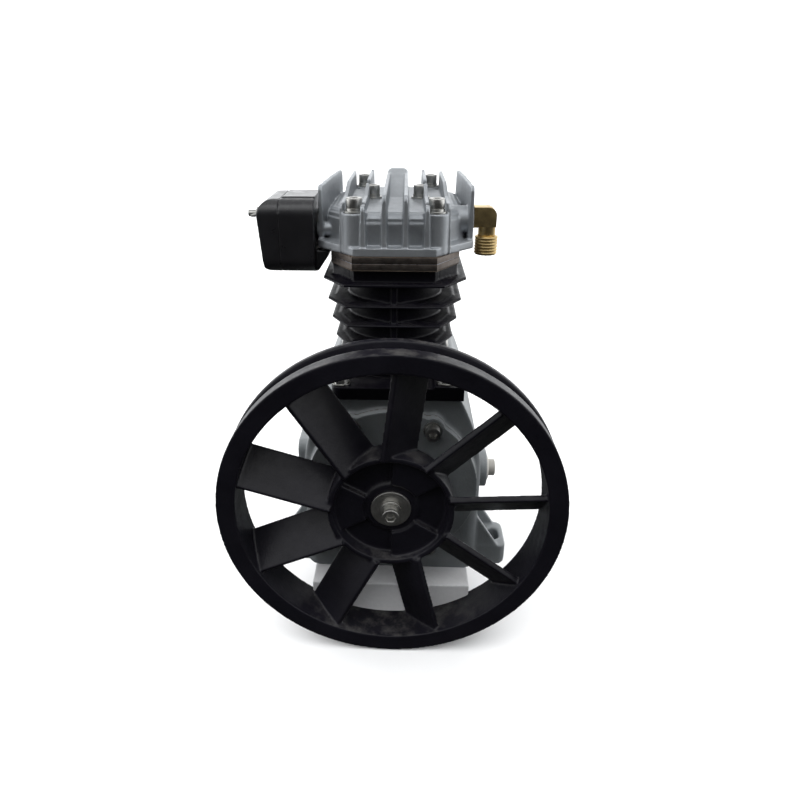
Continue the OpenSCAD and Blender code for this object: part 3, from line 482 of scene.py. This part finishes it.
for node, voxel, smooth in CAST:
    cast_piece(node, voxel * MM, smooth)

for node, width in BEVELLED:
    bevelled_piece(node, width * MM)

for node, obj in nodes.items():
    if not obj.hide_render:
        paint(obj, slot_of[node])


# ---------------------------------------------------------------- floor, stand and light

FLOOR_Z = -0.0515
FLOOR_HALF = 40.0
STAND_SIZE = (0.150, 0.225, 0.0510)
STAND_PLACE = (0.0, -0.0165, -0.0256)
STAND_ROUND = 0.0015
WALL_RADIUS = 38.0
WALL_HEIGHT = 60.0
WALL_MIDDLE_Z = 29.0
WALL_GLOW = 1.2
WORLD_STRENGTH = 2.0
WORLD_LEAN = 0.55
WORLD_TINT = (0.97, 0.985, 1.0)
# Place on the ramp (0 below and in front, 1 overhead and behind) and brightness there.
WORLD_STEPS = ((0.30, 0.02), (0.50, 0.035), (0.62, 0.16), (0.71, 0.60), (0.90, 1.0),
               (0.975, 1.0), (1.0, 0.30))
SUN_ENERGY = 3.4
SUN_ANGLE = 110
SUN_FROM = (-0.25, 0.30, 1.0)


def add_stage():
    """Pale floor, and the pale block that the feet stand on, since the wheel reaches below them."""
    mesh = bpy.data.meshes.new("floor")
    r = FLOOR_HALF
    corners = [(-r, -r, FLOOR_Z), (r, -r, FLOOR_Z), (r, r, FLOOR_Z), (-r, r, FLOOR_Z)]
    mesh.from_pydata(corners, [], [(0, 1, 2, 3)])
    floor = bpy.data.objects.new("floor", mesh)
    bpy.context.scene.collection.objects.link(floor)
    s = Shader("pale_floor")
    grain = s.noise(9.0, 5.0)
    s.set(Base_Color=s.mix(grain, (0.86, 0.86, 0.86), (0.90, 0.90, 0.90)), Roughness=0.7)
    s.bump([(s.noise(300.0, 3.0), 0.05, 0.0003)])
    mesh.materials.append(s.mat)

    bpy.ops.mesh.primitive_cube_add(size=1.0)
    stand = bpy.context.object
    stand.name = "stand"
    stand.data.transform(Matrix.Diagonal((*STAND_SIZE, 1.0)))
    stand.data.transform(Matrix.Translation(STAND_PLACE))
    bevel = stand.modifiers.new("bevel", "BEVEL")
    bevel.width = STAND_ROUND
    bevel.segments = 3
    k = Shader("pale_block")
    foam = k.noise(240.0, 5.0)
    k.set(Base_Color=k.mix(foam, (0.66, 0.66, 0.67), (0.78, 0.78, 0.79)), Roughness=0.85)
    k.bump([(foam, 0.25, 0.0006)])
    stand.data.materials.append(k.mat)
    for o in (floor, stand):
        o.visible_glossy = False
    floor.visible_diffuse = False


def add_backdrop():
    """White wall around the floor, which throws no light or shadow on the pump."""
    bpy.ops.mesh.primitive_cylinder_add(vertices=96, radius=WALL_RADIUS, depth=WALL_HEIGHT,
                                        end_fill_type="NOTHING", location=(0.0, 0.0, WALL_MIDDLE_Z))
    wall = bpy.context.object
    wall.name = "backdrop"
    s = Shader("white_wall")
    s.set(Base_Color=(0.9, 0.9, 0.9), Roughness=1.0,
          Emission_Color=(1.0, 1.0, 1.0), Emission_Strength=WALL_GLOW)
    wall.data.materials.append(s.mat)
    wall.visible_diffuse = False
    wall.visible_glossy = False
    wall.visible_transmission = False
    wall.visible_shadow = False


def add_light():
    """Bright above and behind, dim in front: soft light from overhead."""
    world = bpy.data.worlds.new("studio")
    bpy.context.scene.world = world
    world.use_nodes = True
    tree = world.node_tree

    def arith(operation, first, factor=None, addend=None):
        n = tree.nodes.new("ShaderNodeMath")
        n.operation = operation
        tree.links.new(first, n.inputs[0])
        if factor is not None:
            n.inputs[1].default_value = factor
        if isinstance(addend, bpy.types.NodeSocket):
            tree.links.new(addend, n.inputs[2])
        elif addend is not None:
            n.inputs[2].default_value = addend
        return n.outputs[0]

    coords = tree.nodes.new("ShaderNodeTexCoord")
    split = tree.nodes.new("ShaderNodeSeparateXYZ")
    tree.links.new(coords.outputs["Generated"], split.inputs[0])
    x, y, z = split.outputs
    wide = arith("MULTIPLY_ADD", arith("ABSOLUTE", x), WORLD_LEAN, z)
    tilt = arith("MULTIPLY_ADD", y, WORLD_LEAN, wide)
    ramp = tree.nodes.new("ShaderNodeValToRGB")
    for i, (place, level) in enumerate(WORLD_STEPS):
        e = ramp.color_ramp.elements[i] if i < 2 else ramp.color_ramp.elements.new(place)
        e.position = place
        e.color = (*(level * t for t in WORLD_TINT), 1.0)
    tree.links.new(arith("MULTIPLY_ADD", tilt, 0.5, 0.5), ramp.inputs["Fac"])
    back = tree.nodes["Background"]
    tree.links.new(ramp.outputs["Color"], back.inputs["Color"])
    back.inputs["Strength"].default_value = WORLD_STRENGTH

    sun = bpy.data.lights.new("overhead", "SUN")
    sun.energy = SUN_ENERGY
    sun.angle = math.radians(SUN_ANGLE)
    lamp = bpy.data.objects.new("overhead", sun)
    lamp.visible_glossy = False
    lamp.rotation_euler = (-Vector(SUN_FROM)).to_track_quat("-Z", "Y").to_euler()
    bpy.context.scene.collection.objects.link(lamp)


add_stage()
add_backdrop()
add_light()
bpy.context.scene.view_settings.view_transform = "Standard"
bpy.context.scene.view_settings.look = "None"
